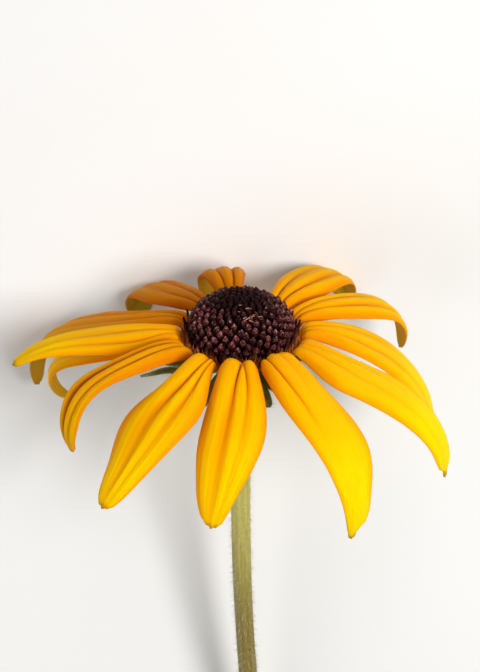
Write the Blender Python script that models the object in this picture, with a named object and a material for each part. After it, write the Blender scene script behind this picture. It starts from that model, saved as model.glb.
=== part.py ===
"""A cut black eyed susan flower, Rudbeckia hirta, lying on its side.

The head is modelled upright round its own axis: z runs from the stem to the
face of the flower, and the side that looks down (-y) becomes the upper side
once the flower lies down. Two empties then lay it on the surface. It rests on
two of its back petals and on the end of the stem.

Lengths in the functions are millimetres. They become metres in add_mesh.
"""

import math
from dataclasses import dataclass

import bmesh
import bpy
import numpy as np
from mathutils import Matrix, Vector

MM = 0.001

# How the flower lies
TILT = 12.0  # degrees that the stem slopes down behind the head
HEAD_HEIGHT = 23.8  # middle of the disc above the surface
CONTACT_THICKNESS = 0.6

# Disc, the dark cone in the middle
DISC_RADIUS = 8.45
DISC_DOME = 5.8
DISC_FLORETS = 340
DISC_CROWDING = 1.1  # above 1, the florets get closer towards the top
DISC_LOWEST = -0.7
DISC_UNDERSIDE = ((8.1, -1.1, 36), (5.9, -2.4, 24))
DOME_POWER = 2.25
FLORET_RISE = 0.3
FLORET_DEPTH = 0.3
GOLDEN_ANGLE = math.pi * (3 - math.sqrt(5))

# Petals, which are ray florets with a narrow claw under the disc
CLAW_RADIUS = 4.9
CLAW_HEIGHT = -3.25
CREST = 7.4  # distance along the petal from its root to its crest
PETAL_THICKNESS = 0.6
PETAL_ROWS = (4, 6)  # steps along the claw and along the blade
PETAL_STEPS = 12  # across, so that a line of points runs down each groove and each ridge
RIDGE = 0.46  # depth of the grooves along the blade
CREST_RIDGE = 0.5  # how much deeper they are where the petal comes over the rim

# Receptacle and the green bracts under the head
RECEPTACLE = (
    (4.2, -2.72), (4.25, -3.95), (5.5, -3.97), (5.65, -4.5), (5.2, -5.3),
    (4.1, -6.1), (2.9, -6.8), (2.0, -7.3),
)
RECEPTACLE_SIDES = 24
BRACTS = 14
LONG_BRACT = 8
BRACT_THICKNESS = 0.65

# Stem
STEM_TOP = -7.6
STEM_LENGTH = 140.0
STEM_RADIUS = 1.55
STEM_STRAIGHT = 84.0
STEM_REST = 1.38  # height of its middle where it lies on the surface
STEM_SIDES = 12
STEM_RINGS = 24


@dataclass
class Petal:
    """Angles in degrees, lengths in millimetres. Left and right as seen from outside."""

    name: str
    turn: float  # direction of the blade round the axis
    length: float
    neck: float  # half width where it comes over the rim
    rise: float  # slope at the crest, half way along the blade and at the tip
    mid: float
    tip: float
    left: tuple = (4.3, 0.45, 0.75)  # half width, where along the blade, and what is left of it near the tip
    right: tuple = (4.3, 0.45, 0.75)
    sway: float = 0.0  # how far the tip swings to the side
    roll: float = 0.0  # twist of the outer end
    hump: float = 1.0  # how steeply it climbs out from under the disc
    climb: float = 0.0  # how much higher than the others its crest stands
    end: float = 0.9  # half width at the tip
    fold: float = 0.12  # how far the long edges bend down
    root: float | None = None  # direction of the claw, where it differs
    grooves: tuple = (-0.33, 0.33)  # where the two grooves run, from -1 at the left edge to 1
    lobes: tuple = (0.1, -0.25, 0.1)  # how far the three lobes stand up at the rim

    @property
    def crest(self):
        return CREST + self.climb

    @property
    def claw(self):
        return self.turn if self.root is None else self.root


PETALS = (
    Petal("ray_floret_01", 268, 33.6, 2.8, -18, -48, -60, sway=-30, climb=1.2, left=(5.0, 0.54, 0.8),
          right=(4.7, 0.41, 0.51), grooves=(-0.18, 0.28), lobes=(0.5, -0.5, 0.25)),
    Petal("ray_floret_02", 300, 40.0, 2.9, -9, -34, -108, sway=3, climb=0.9, left=(3.4, 0.28, 0.44),
          right=(5.6, 0.54, 0.67), end=0.6, grooves=(-0.45, 0.2), lobes=(0.35, 0.2, 0.1)),
    Petal("ray_floret_03", 335, 38.4, 2.45, -8, -24, -94, sway=-7, roll=-3,
          left=(4.9, 0.3, 0.5), right=(4.3, 0.55, 0.8)),
    Petal("ray_floret_04", 3, 34.2, 2.2, 3, -37, -82, sway=-13, roll=4, left=(4.2, 0.45, 0.78),
          right=(4.7, 0.36, 0.7)),
    Petal("ray_floret_05", 29, 32.2, 2.0, 12, -18, -113, sway=-15, left=(4.0, 0.5, 0.75)),
    Petal("ray_floret_06", 56, 30.6, 2.3, 16, -12, -98, sway=-13, left=(4.4, 0.5, 0.75),
          right=(5.0, 0.36, 0.75)),
    Petal("ray_floret_07", 80, 25.0, 1.7, -20, -65, -110, hump=0.7, left=(3.9, 0.5, 0.75),
          right=(3.9, 0.5, 0.75)),
    Petal("ray_floret_08", 99, 30.0, 1.9, 38, -49, -124, left=(3.8, 0.5, 0.75), right=(3.8, 0.5, 0.75)),
    Petal("ray_floret_09", 126, 31.0, 2.1, 0, -18, -102),
    Petal("ray_floret_10", 153, 44.2, 1.9, -10, -23, -104, sway=-2, hump=0.9, root=148,
          left=(4.0, 0.5, 0.75), right=(3.5, 0.5, 0.75)),
    Petal("ray_floret_11", 168.5, 33.6, 1.1, -10, -14, -165, sway=8, hump=0.03, root=164,
          left=(2.8, 0.5, 0.75), right=(3.6, 0.5, 0.75)),
    Petal("ray_floret_12", 181.5, 32.2, 2.15, 0, -5, -38, sway=10, root=184.5, left=(4.3, 0.33, 0.67),
          right=(4.4, 0.24, 0.52)),
    Petal("ray_floret_13", 211, 35.2, 1.9, 12, -13, -120, sway=22, roll=16, root=207,
          left=(4.2, 0.58, 0.78), right=(2.1, 0.5, 0.93), end=0.8),
    Petal("ray_floret_14", 238.5, 35.4, 2.05, -9, -32, -52, sway=-18, hump=0.95, climb=0.9,
          left=(5.7, 0.51, 0.66), right=(5.0, 0.36, 0.56), root=236, end=0.95,
          grooves=(-0.05, 0.45), lobes=(0.1, -0.1, 0.0)),
)

COLOURS = {
    "petal": ((0.95, 0.50, 0.005), 0.5),
    "disc": ((0.055, 0.018, 0.014), 0.45),
    "involucre": ((0.24, 0.30, 0.12), 0.65),
    "stem": ((0.46, 0.43, 0.16), 0.6),
}


def smooth_curve(x, knots, values):
    """A smooth curve through the knots that never swings past them."""
    knots = np.asarray(knots, float)
    values = np.asarray(values, float)
    step = np.diff(knots)
    slope = np.diff(values) / step
    lean = np.concatenate([slope[:1], np.zeros(len(slope) - 1), slope[-1:]])
    for i in range(1, len(slope)):
        before, after = slope[i - 1], slope[i]
        if before * after > 0:
            a = 2 * step[i] + step[i - 1]
            b = step[i] + 2 * step[i - 1]
            lean[i] = (a + b) / (a / before + b / after)
    i = np.clip(np.searchsorted(knots, x, side="right") - 1, 0, len(slope) - 1)
    t = np.clip((x - knots[i]) / step[i], 0, 1)
    up = t * t * (3 - 2 * t)
    return (
        values[i] * (1 - up)
        + values[i + 1] * up
        + step[i] * lean[i] * t * (1 - t) ** 2
        - step[i] * lean[i + 1] * t * t * (1 - t)
    )


def petal_midline(petal, count=240):
    """Points, sides and normals along the middle of a petal.

    x runs outwards along the petal's own direction, z along the flower's axis,
    and the root of the claw is at the origin.
    """
    s = np.linspace(0, petal.length, count)
    crest = petal.crest
    knots = (0, 2.4, 3.8, crest - 2, crest, (crest + petal.length) / 2, petal.length)
    slopes = (
        5,
        5 + 7 * petal.hump,
        5 + 55 * petal.hump,
        petal.rise + (62 - petal.rise) * petal.hump,
        petal.rise,
        petal.mid,
        petal.tip,
    )
    slope = np.radians(smooth_curve(s, knots, slopes))
    t = np.clip((s - crest) / (petal.length - crest), 0, 1)
    aside = CLAW_RADIUS * math.sin(math.radians(petal.claw - petal.turn))
    lead = -2 * math.atan(aside / 5.9)
    early = np.clip(s / crest, 0, 1)
    heading = np.radians(petal.sway) * t**1.3 + lead * (1 - early**2 * (3 - 2 * early))
    along = np.stack(
        [np.cos(slope) * np.cos(heading), np.cos(slope) * np.sin(heading), np.sin(slope)],
        axis=-1,
    )
    points = np.zeros((count, 3))
    points[1:] = np.cumsum((along[1:] + along[:-1]) / 2 * np.diff(s)[:, None], axis=0)
    side = np.stack([-np.sin(heading), np.cos(heading), np.zeros(count)], axis=-1)
    normal = np.cross(along, side)
    roll = np.radians(petal.roll) * t
    c, n = np.cos(roll)[:, None], np.sin(roll)[:, None]
    return s, points, side * c + normal * n, normal * c - side * n


def petal_half_width(petal, s, v):
    """Half the width on the side of v, and the mean of both sides."""
    blade = petal.length - petal.crest
    halves = []
    for wide, peak, fade in (petal.left, petal.right):
        knots = (0, 2.6, petal.crest - 2.6, petal.crest) + tuple(
            petal.crest + blade * share for share in (peak, 0.8, 0.93, 1)
        )
        end = wide * fade
        widths = (0.5, 0.55, petal.neck * 0.8, petal.neck, wide, end, end * 0.66, petal.end)
        halves.append(smooth_curve(s, knots, widths))
    return np.where(v < 0, *halves), (halves[0] + halves[1]) / 2


def petal_section(petal, s, v, half, mean):
    """Height across the petal: three rounded lobes between two grooves, long edges bent down."""
    lobed = np.interp(v, (-1, *petal.grooves, 1), (-1, -1 / 3, 1 / 3, 1))
    past = s - petal.crest - 1.0
    near = np.exp(-((past / np.where(past > 0, 7.5, 2.2)) ** 2))
    soft = 0.5 - 0.4 * near
    wave = np.sqrt(np.cos(1.5 * math.pi * lobed) ** 2 + soft**2) - soft
    ends = np.clip(s / 6, 0, 1) * np.clip((petal.length - s) / 6, 0.25, 1)
    ridge = (RIDGE + CREST_RIDGE * near) * ends * (wave - 0.55) * np.minimum(1, mean / 2.6)
    left, middle, right = petal.lobes
    lift = np.interp(lobed, (-0.75, -0.3, 0.3, 0.75), (left, middle, middle, right))
    return ridge + near * lift - petal.fold * 1.5 * half * v * v


def petal_surface(petal):
    """Grids of points and of normals, whose lines follow the grooves and the ridges."""
    s, middle, side, normal = petal_midline(petal)
    lines = np.linspace(-1, 1, PETAL_STEPS + 1)
    v = np.interp(lines, (-1, -1 / 3, 1 / 3, 1), (-1, *petal.grooves, 1))[None, :]
    notch = 0.12 * (1 - np.cos(3 * math.pi * v)) + 0.8 * v * v
    claw, blade = PETAL_ROWS
    reach = (petal.crest + 0.8) / petal.length
    share = np.concatenate([np.linspace(0, reach, claw + 1), np.linspace(reach, 1, blade + 1)[1:]])
    at = share[:, None] * (petal.length - notch)

    def read(rows):
        return np.stack([np.interp(at, s, rows[:, k]) for k in range(3)], axis=-1)

    half, mean = petal_half_width(petal, at, v)
    lift = petal_section(petal, at, v, half, mean)
    points = read(middle) + read(side) * (v * half)[..., None] + read(normal) * lift[..., None]
    flank = np.gradient(lift, axis=1) / np.gradient(v * half, axis=1)
    offsets = read(normal) - read(side) * (0.6 * flank)[..., None]
    offsets /= np.linalg.norm(offsets, axis=-1, keepdims=True)
    return points, offsets


def sheet(upper, lower):
    """A closed sheet between two grids, split into triangles alike on both."""
    along, across = upper.shape[:2]
    points = np.concatenate([upper.reshape(-1, 3), lower.reshape(-1, 3)])
    half = along * across
    faces = []
    for i in range(along - 1):
        for j in range(across - 1):
            a, b = i * across + j, i * across + j + 1
            c, d = b + across, a + across
            if (j < across // 2) == (i % 2 == 0):
                faces += [(a, d, c), (a, c, b)]
                faces += [(a + half, c + half, d + half), (a + half, b + half, c + half)]
            else:
                faces += [(a, d, b), (b, d, c)]
                faces += [(a + half, b + half, d + half), (b + half, c + half, d + half)]
    rim = [j for j in range(across)]
    rim += [i * across + across - 1 for i in range(1, along)]
    rim += [(along - 1) * across + j for j in range(across - 2, -1, -1)]
    rim += [i * across for i in range(along - 2, 0, -1)]
    for a, b in zip(rim, rim[1:] + rim[:1]):
        faces += [(a, b, b + half), (a, b + half, a + half)]
    return points, faces


def material(name, key):
    colour, roughness = COLOURS[key]
    made = bpy.data.materials.new(name)
    made.use_nodes = True
    shader = made.node_tree.nodes["Principled BSDF"]
    shader.inputs["Base Color"].default_value = (*colour, 1)
    shader.inputs["Roughness"].default_value = roughness
    shader.inputs["Metallic"].default_value = 0
    made.diffuse_color = (*colour, 1)
    return made


def add_mesh(name, points, faces, key, parent, place=None):
    mesh = bpy.data.meshes.new(name)
    mesh.from_pydata((np.asarray(points) * MM).tolist(), [], [tuple(face) for face in faces])
    work = bmesh.new()
    work.from_mesh(mesh)
    bmesh.ops.recalc_face_normals(work, faces=work.faces[:])
    if work.calc_volume(signed=True) < 0:
        bmesh.ops.reverse_faces(work, faces=work.faces[:])
    work.to_mesh(mesh)
    work.free()
    mesh.shade_smooth()
    mesh.set_sharp_from_angle(angle=math.radians(50))
    mesh.materials.append(material(name, key))
    made = bpy.data.objects.new(name, mesh)
    bpy.context.scene.collection.objects.link(made)
    made.parent = parent
    if place is not None:
        made.matrix_local = place
    return made


def add_empty(name, parent=None):
    made = bpy.data.objects.new(name, None)
    bpy.context.scene.collection.objects.link(made)
    made.parent = parent
    made.empty_display_size = 0.01
    return made


def head_frame():
    """Upright flower to lying flower: its axis turns to +Y, its -y side to +Z."""
    c, s = math.cos(math.radians(TILT)), math.sin(math.radians(TILT))
    turn = Matrix(((1, 0, 0), (0, s, c), (0, -c, s))).to_4x4()
    return Matrix.Translation((0, 0, HEAD_HEIGHT * MM)) @ turn


def press_on_surface(upper, lower, to_lying):
    """Flattens the part of a petal that meets the surface, at its full thickness."""
    turn = np.array(to_lying.to_3x3())
    move = np.array(to_lying.translation) / MM
    high = upper @ turn.T + move
    low = lower @ turn.T + move
    for first, second in ((high, low), (low, high)):
        under = (first[..., 2] < 0) & (first[..., 2] <= second[..., 2])
        first[..., 2] = np.where(under, 0, first[..., 2])
        second[..., 2] = np.where(under, np.maximum(second[..., 2], CONTACT_THICKNESS), second[..., 2])
    return (high - move) @ turn, (low - move) @ turn


def add_petal(petal, head):
    root = math.radians(petal.claw)
    place = Matrix.Translation(
        Vector((CLAW_RADIUS * math.cos(root), CLAW_RADIUS * math.sin(root), CLAW_HEIGHT)) * MM
    ) @ Matrix.Rotation(math.radians(petal.turn), 4, "Z")
    points, normals = petal_surface(petal)
    upper = points + normals * PETAL_THICKNESS / 2
    lower = points - normals * PETAL_THICKNESS / 2
    upper, lower = press_on_surface(upper, lower, head_frame() @ place)
    add_mesh(petal.name, *sheet(upper, lower), "petal", head, place)


def dome_rows(count=400):
    """Points down the outline of the disc, and how much surface lies above each."""
    bend = np.linspace(0, math.pi / 2, count)
    high = DISC_DOME * np.cos(bend) ** (2 / DOME_POWER)
    radius = DISC_RADIUS * np.sin(bend) ** (2 / DOME_POWER)
    skirt = np.linspace(0, 1, 30)[1:]
    high = np.concatenate([high, skirt * DISC_LOWEST])
    radius = np.concatenate([radius, DISC_RADIUS - 0.12 * skirt])
    length = np.hypot(np.diff(high), np.diff(radius))
    area = np.concatenate([[0], np.cumsum(length * (radius[1:] + radius[:-1]) / 2)])
    return high, radius, area / area[-1]


def disc_points():
    """Florets in a golden angle spiral with even spacing, then the plain underside."""
    high, radius, area = dome_rows()
    points, normals, florets = [], [], []
    for i in range(DISC_FLORETS):
        share = ((i + 0.5) / DISC_FLORETS) ** DISC_CROWDING
        r = float(np.interp(share, area, radius))
        z = float(np.interp(share, area, high))
        turn = i * GOLDEN_ANGLE
        if z > 0:
            out = (r / DISC_RADIUS) ** (DOME_POWER - 1) / DISC_RADIUS
            up = (z / DISC_DOME) ** (DOME_POWER - 1) / DISC_DOME
        else:
            out, up = 1.0, 0.0
        size = math.hypot(out, up)
        points.append((r * math.cos(turn), r * math.sin(turn), z))
        normals.append((out / size * math.cos(turn), out / size * math.sin(turn), up / size))
        florets.append(True)
    for r, z, count in DISC_UNDERSIDE:
        for k in range(count):
            turn = 2 * math.pi * (k + 0.5) / count
            points.append((r * math.cos(turn), r * math.sin(turn), z))
            normals.append((math.cos(turn), math.sin(turn), 0.0))
            florets.append(False)
    return np.array(points), np.array(normals), florets


def add_disc(head):
    """Each floret is a pointed bud that rises from the valleys round it."""
    points, normals, florets = disc_points()
    hull = bmesh.new()
    for point in points:
        hull.verts.new(point)
    hull.verts.index_update()
    bmesh.ops.convex_hull(hull, input=hull.verts[:])
    bmesh.ops.triangulate(hull, faces=hull.faces[:])
    valleys = []
    for face in hull.faces:
        corners = [vert.index for vert in face.verts]
        face.normal_update()
        share = sum(florets[k] for k in corners) / 3
        middle = points[corners].mean(axis=0)
        inward = normals[corners].mean(axis=0) * FLORET_DEPTH * share**2
        face.index = len(valleys)
        valleys.append(middle - inward)
    out, faces = list(valleys), []
    for vert in hull.verts:
        if not vert.link_faces:
            continue
        loops = {}
        for face in vert.link_faces:
            order = [v.index for v in face.verts]
            at = order.index(vert.index)
            loops[order[(at + 1) % 3]] = (order[(at + 2) % 3], face.index)
        start = next(iter(loops))
        walk, here = [], start
        while True:
            here, valley = loops[here]
            walk.append(valley)
            if here == start:
                break
        k = vert.index
        ring = len(out)
        if florets[k]:
            for valley in walk:
                inner = points[k] + (valleys[valley] - points[k]) * 0.5
                level = (valleys[valley] - points[k]) @ normals[k] * 0.5
                out.append(inner - normals[k] * (level - 0.1 * FLORET_RISE))
            tip = len(out)
            out.append(points[k] + normals[k] * FLORET_RISE)
        else:
            tip = len(out)
            out.append(points[k])
        for i, valley in enumerate(walk):
            after = (i + 1) % len(walk)
            if florets[k]:
                faces.append((valley, walk[after], ring + after))
                faces.append((valley, ring + after, ring + i))
                faces.append((ring + i, ring + after, tip))
            else:
                faces.append((valley, walk[after], tip))
    hull.free()
    return add_mesh("disc_cone", np.array(out), faces, "disc", head)


def turned(profile, sides):
    """A closed turned solid through (radius, height) pairs, top to bottom."""
    points, faces = [(0, 0, profile[0][1])], []
    for radius, height in profile:
        for k in range(sides):
            turn = 2 * math.pi * k / sides
            points.append((radius * math.cos(turn), radius * math.sin(turn), height))
    points.append((0, 0, profile[-1][1]))
    last = len(points) - 1
    for k in range(sides):
        after = (k + 1) % sides
        faces.append((0, 1 + k, 1 + after))
        base = 1 + (len(profile) - 1) * sides
        faces.append((last, base + after, base + k))
        for row in range(len(profile) - 1):
            a, b = 1 + row * sides + k, 1 + row * sides + after
            faces.append((a, a + sides, b + sides, b))
    return points, faces


def bract_surface(index, along=6, across=5):
    """A lance shaped green blade that spreads under the petals."""
    long = index == LONG_BRACT
    length = 12.4 if long else 8.3 + 0.7 * math.sin(index * 2.4)
    droop = 0.0 if long else 6 - 3 * math.cos(index * 1.7)
    points = np.zeros((along, across, 3))
    offsets = np.zeros((along, across, 3))
    for i, t in enumerate(np.linspace(0, 1, along)):
        climb = np.clip((t - 0.3) / 0.4, 0, 1) if long else 0.0
        z = -4.7 - 0.35 * (index % 2) - math.tan(math.radians(droop)) * length * t * (1.6 - 0.6 * t)
        z += 1.5 * climb * climb * (3 - 2 * climb)
        half = 1.6 * (1 - t) ** 0.55 * (0.72 + 0.9 * t) + 0.14
        if long:
            half = 1.15 * (1 - t) ** 0.8 + 0.3
        for j, v in enumerate(np.linspace(-1, 1, across)):
            points[i, j] = (4.4 + length * t, v * half, z - 0.2 * abs(v) * half)
            offsets[i, j] = (math.sin(math.radians(droop)), 0.2 * np.sign(v), 1)
    offsets /= np.linalg.norm(offsets, axis=-1, keepdims=True)
    return points, offsets


def bract_turn(index):
    return 5 + 360 / BRACTS * index - 6.5 * math.sin(1.2 * (index - 11))


def add_involucre(head):
    """The receptacle with its ring of bracts, joined to one body."""
    body = add_mesh("involucre", *turned(RECEPTACLE, RECEPTACLE_SIDES), "involucre", head)
    blades = bpy.data.collections.new("bracts")
    bpy.context.scene.collection.children.link(blades)
    for index in range(BRACTS):
        points, normals = bract_surface(index)
        half = normals * BRACT_THICKNESS / 2
        place = Matrix.Rotation(math.radians(bract_turn(index)), 4, "Z")
        made = add_mesh(f"bract_{index}", *sheet(points + half, points - half), "involucre", head, place)
        bpy.context.scene.collection.objects.unlink(made)
        blades.objects.link(made)
    union = body.modifiers.new("bracts", "BOOLEAN")
    union.operation = "UNION"
    union.operand_type = "COLLECTION"
    union.collection = blades
    union.solver = "EXACT"
    bpy.context.view_layer.update()
    graph = bpy.context.evaluated_depsgraph_get()
    joined = bpy.data.meshes.new_from_object(body.evaluated_get(graph))
    body.modifiers.remove(union)
    body.data = joined
    joined.materials.clear()
    joined.materials.append(bpy.data.materials["involucre"])
    for made in list(blades.objects):
        bpy.data.objects.remove(made)
    bpy.data.collections.remove(blades)
    return body


def stem_line(count):
    """The middle of the stem in the lying flower: a straight slope, then level."""
    slope = math.tan(math.radians(TILT))
    start = -STEM_TOP * math.cos(math.radians(TILT))
    top = HEAD_HEIGHT + STEM_TOP * math.sin(math.radians(TILT))
    drop = top - STEM_REST
    ease = 2 * (drop / slope - (STEM_STRAIGHT - start)) + STEM_STRAIGHT - start
    back = np.linspace(0, STEM_LENGTH - start, count)
    near = STEM_STRAIGHT - start
    t = np.clip((back - near) / (ease - near), 0, 1)
    height = top - slope * (np.minimum(back, near) + (ease - near) * (t - t * t / 2))
    far = back + start
    aside = 0.001 * np.clip(far - 30, 0, 45) ** 2 + 0.09 * np.clip(far - 75, 0, None)
    return np.stack([aside, -far, height], axis=-1)


def add_stem(flower):
    line = stem_line(STEM_RINGS)
    along = np.gradient(line, axis=0)
    along /= np.linalg.norm(along, axis=1, keepdims=True)
    side = np.cross(along, (0, 0, 1))
    side /= np.linalg.norm(side, axis=1, keepdims=True)
    up = np.cross(side, along)
    points, faces = [], []
    for i, middle in enumerate(line):
        share = i / (len(line) - 1)
        radius = STEM_RADIUS * (1 + 0.18 * max(0, 1 - share * 12) - 0.04 * share)
        for k in range(STEM_SIDES):
            turn = 2 * math.pi * (k + 0.5) / STEM_SIDES
            at = middle + radius * (math.cos(turn) * side[i] + math.sin(turn) * up[i])
            points.append((at[0], at[1], max(at[2], 0)))
    for i in range(len(line) - 1):
        for k in range(STEM_SIDES):
            a, b = i * STEM_SIDES + k, i * STEM_SIDES + (k + 1) % STEM_SIDES
            faces.append((a, b, b + STEM_SIDES, a + STEM_SIDES))
    faces.append(tuple(range(STEM_SIDES - 1, -1, -1)))
    faces.append(tuple((len(line) - 1) * STEM_SIDES + k for k in range(STEM_SIDES)))
    return add_mesh("stem", np.array(points), faces, "stem", flower)


def centre_over_origin(flower):
    """Moves the flower so that the middle of its outline is over the origin."""
    bpy.context.view_layer.update()
    low, high = Vector((1e9, 1e9, 1e9)), Vector((-1e9, -1e9, -1e9))
    for made in bpy.data.objects:
        if made.type != "MESH":
            continue
        for vertex in made.data.vertices:
            at = made.matrix_world @ vertex.co
            low = Vector(map(min, low, at))
            high = Vector(map(max, high, at))
    flower.location.x -= (low.x + high.x) / 2
    flower.location.y -= (low.y + high.y) / 2


def main():
    for old in list(bpy.data.objects):
        bpy.data.objects.remove(old, do_unlink=True)
    flower = add_empty("flower")
    head = add_empty("head", flower)
    head.matrix_local = head_frame()
    add_stem(flower)
    add_involucre(head)
    add_disc(head)
    for petal in PETALS:
        add_petal(petal, head)
    centre_over_origin(flower)


main()
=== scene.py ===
"""A cut black eyed susan flower, dressed for a studio picture.

Petals, disc florets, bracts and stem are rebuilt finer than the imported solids, from the same
formulas. The head is worked out upright round its own axis, in millimetres: z runs from the stem to
the face of the flower, and its -y side becomes the upper side once the flower lies down.
"""

import math
from dataclasses import dataclass

import bpy
import numpy as np
from bpy.props import FloatProperty, FloatVectorProperty, IntProperty, PointerProperty
from mathutils import Matrix, Vector


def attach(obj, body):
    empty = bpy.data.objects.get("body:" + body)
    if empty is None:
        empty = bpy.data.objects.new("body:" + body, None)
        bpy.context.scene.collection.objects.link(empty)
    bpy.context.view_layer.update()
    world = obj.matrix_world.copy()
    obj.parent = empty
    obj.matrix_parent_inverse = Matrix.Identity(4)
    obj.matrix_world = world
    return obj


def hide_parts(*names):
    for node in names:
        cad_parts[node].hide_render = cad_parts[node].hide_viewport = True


bl_info = {
    "name": "Black Eyed Susan Flower",
    "version": (1, 0, 0),
    "blender": (4, 5, 0),
    "location": "3D View > Sidebar > Flower",
    "description": "Builds a cut black eyed susan with petals, disc florets, bracts and a hairy stem",
    "category": "Add Mesh",
}

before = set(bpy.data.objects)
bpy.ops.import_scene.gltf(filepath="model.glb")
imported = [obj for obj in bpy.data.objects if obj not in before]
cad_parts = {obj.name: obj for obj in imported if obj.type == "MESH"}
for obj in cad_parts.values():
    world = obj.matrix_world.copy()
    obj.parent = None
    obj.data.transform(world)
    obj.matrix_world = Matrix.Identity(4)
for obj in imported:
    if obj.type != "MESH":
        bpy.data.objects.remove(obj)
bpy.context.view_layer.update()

MM = 0.001
SEED = 20

# How the flower lies, as in the solids
TILT = 12  # degrees that the stem slopes down behind the head
HEAD_AT = (1.824, 66.896, 23.8)  # where the middle of the disc comes to lie
CONTACT = 0.02  # height of a petal where it is pressed to the surface
PRESSED_THICKNESS = 0.3

# Disc
DISC_RADIUS = 7.9
DISC_DOME = 5.6
DISC_LOWEST = -1.3
DISC_TAPER = 0.12  # how much narrower the disc is at its lowest than at its widest
DISC_CROWDING = 1.1  # above 1, the florets get closer towards the top
DOME_POWER = 2.25  # 2 would be an ellipse, and more is squarer
GOLDEN_ANGLE = math.pi * (3 - math.sqrt(5))
HEXAGON = 1.1547  # square of the spacing over the area of one place, in a hexagonal pattern
FLOOR_DEPTH = (0.7, 0.6)  # how far the dark floor lies inside and below the outline
FLOOR_GRID = (40, 64)  # rows down the dome and points round
FLOOR_UNDERSIDE = ((7, -1.9), (6, -2.2), (5, -2.3), (0.02, -2.4))

# Bud of a floret: radius and height of its rings, as shares of its half width and its height
BUD = (
    (0.60, -0.75), (0.84, -0.3), (0.99, 0), (0.98, 0.24), (0.80, 0.5), (0.47, 0.76), (0.18, 0.93),
)
BUD_LEAN = (34, 36, 8)  # degrees at the top of the dome, how many more at its rim, and how far they vary
BUD_SIDES = 15
BUD_LOBES = 5
LOBE_DEPTH = 0.13

# Kinds of scale on the disc, with ranges to draw from: how deep the foot is sunk, how far it leans
# outward and aside, length, width, how orange it is, share of the length below its place, thickness
THIN_SCALE = ((-1.35, -0.8), (-0.15, 0.15), (-0.6, 0.6), (1.5, 2.9), (0.08, 0.16), 1, 0.6, 0.16)
WIDE_SCALE = ((-1, -0.4), (-0.15, 0.15), (-0.6, 0.6), (1.5, 2.9), (0.35, 0.55), (0.2, 0.9), 0.6, 0.16)
BROAD_SCALE = ((-0.6, -0.35), (0, 0.15), (-0.15, 0.15), (2.6, 4), (1, 1.4), (0, 0.3), 0.5, 0.8)
POINT_SCALE = (0.3, (0.5, 1), (-0.4, 0.4), (1.2, 1.7), (0.25, 0.45), 0, 0.42, 0.16)
# Where they stand, as the share of the dome that lies above them
RIM_SHARE = 0.9
BROAD_SHARE = 0.86
POINT_SHARES = (0.6, 0.36)  # the least, and how much more it may be
SCALE_RINGS = 6
SCALE_SIDES = 6

# Petals, which are ray florets with a narrow claw under the disc
CLAW_RADIUS = 4.9
CLAW_HEIGHT = -3.25
CLAW_REACH = 5.9  # how far out a claw with another direction meets its petal's own
CLAW_SLOPE = 5  # degrees
CLAW_BENDS = ((2.4, 7), (3.8, 55))  # how far along it gets steeper, and by how many degrees
CLAW_HALF_WIDTHS = (0.5, 0.55)
CLAW_EVEN = 2.6  # length of its even stretch, and of its last one, where it widens into the neck
CREST = 7.4  # distance along the petal from its root to its crest
CREST_BEND = (2, 62)  # how far before the crest it is steepest, and that slope
RIDGE = 0.46  # depth of the creases along the blade
CREST_RIDGE = 0.5  # how much deeper they are where the petal comes over the rim
CREST_LENGTH = 2.2  # over this length it starts, before the crest
RIDGE_RUN_OUT = 6  # over this length they fade at either end of the petal
RIDGE_HALF_WIDTH = 2.6  # they are less deep where the petal is narrower than this
WAVE_MIDDLE = 0.55  # level of the petal between the bottom of its creases and the top of its ridges
CREASE_SOFT = 0.62  # how round the creases are
CREST_SHARPER = 0.54  # how much sharper they are at the crest
CREASE_WANDER = (0.03, 3.1)  # how far they swing to the side, and the length of a swing over 2 pi
EDGE_BEND = 0.18  # how far the long edges bend down
EDGE_WAVE = (0.16, 2.7)  # height of the waves along the edges, and their length over 2 pi
EDGE_START = 0.86  # where the colour of the edges starts, from the middle out
EDGE_THICKNESS = 0.35  # share of the thickness that is left at the edges
TIP_NOTCH = 0.12
TIP_CORNER = 0.8  # how far the corners of the tip are cut back
# Fine ribs: height, how many across, how far they swing, how often, and a shift
FINE_RIBS = ((0.03, 11, 0.6, 0.21, 1), (0.02, 19, 0.8, 0.17, 2))
PETAL_PHASE = 1.7  # sets the waves of one petal apart from the next

# Receptacle, as radius and height from its top down, and bracts
RECEPTACLE = (
    (4.6, -1.9), (4.95, -2.4), (4.95, -3.95), (5.5, -3.97), (5.65, -4.5), (5.2, -5.3),
    (4.1, -6.1), (2.9, -6.8), (2, -7.3), (1.8, -7.7),
)
RECEPTACLE_GRID = (40, 72)  # rows down it and points round
BRACTS = 14
LONG_BRACT = 8
BRACT_SIZE = (8.3, 1.6)  # length and half width
LONG_BRACT_SIZE = (12.4, 1.15)
BRACT_FOOT = (4.4, -4.7)  # radius and height
BRACT_UPPER = 0.16  # thickness over the middle of the blade
BRACT_LOWER = (0.2, 0.16)  # thickness under it, and how much more there is under the rib
BRACT_HAIR = 0.028  # radius at its root

# Stem
STEM_TOP = -7.6
STEM_LENGTH = 140
STEM_RADIUS = 1.55
STEM_STRAIGHT = 84
STEM_REST = 1.38  # height of its middle where it lies on the surface
STEM_RIBS = 9
STEM_HAIR = 0.027
STEM_BEND = (30, 45, 0.001, 0.09)  # where it starts and how long it is, its curve, and the slope after it
STEM_GRID = (260, 40)  # rows along and points round
# Cut end: radius as a share of the stem's, and how far each ring stands out
CUT_END = ((0.96, 0.06), (0.8, 0.02), (0.5, -0.05), (0.2, -0.06))
CUT_PITH = (0.3, 1, 1, 1)  # how much of the pith's colour each ring has

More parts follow.
